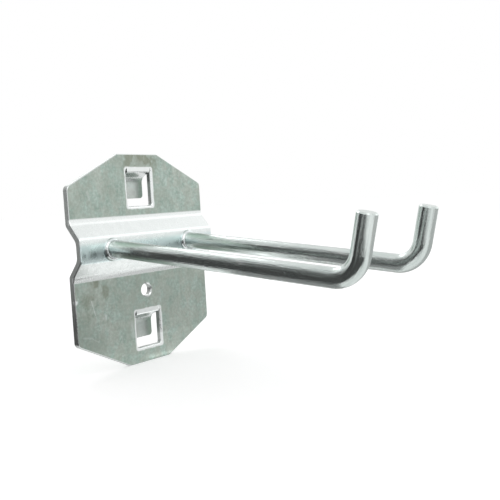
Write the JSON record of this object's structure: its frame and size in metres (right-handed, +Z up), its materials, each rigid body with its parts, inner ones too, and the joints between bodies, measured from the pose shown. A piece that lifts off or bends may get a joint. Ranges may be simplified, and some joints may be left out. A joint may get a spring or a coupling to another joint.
{
  "type": "pegboard hook",
  "caption": "Zinc-plated hook for a perforated steel panel: a ribbed octagonal back plate with joggled tongues carries parallel wire prongs with upturned ends.",
  "frame": {"origin": "on the plane of the plate's flat back, midway between the hanging tongues", "axes": "+X across the plate to the right as seen from the front, +Y to the rear into the panel, +Z up"},
  "size_m": [0.0486, 0.083, 0.056],
  "materials": {
    "plated_sheet": "satin zinc plating on rolled sheet",
    "plated_wire": "bright zinc plating on drawn wire"
  },
  "bodies": {
    "root": {"back_plate": "plated_sheet", "left_prong": "plated_wire", "right_prong": "plated_wire"}
  },
  "joints": []
}
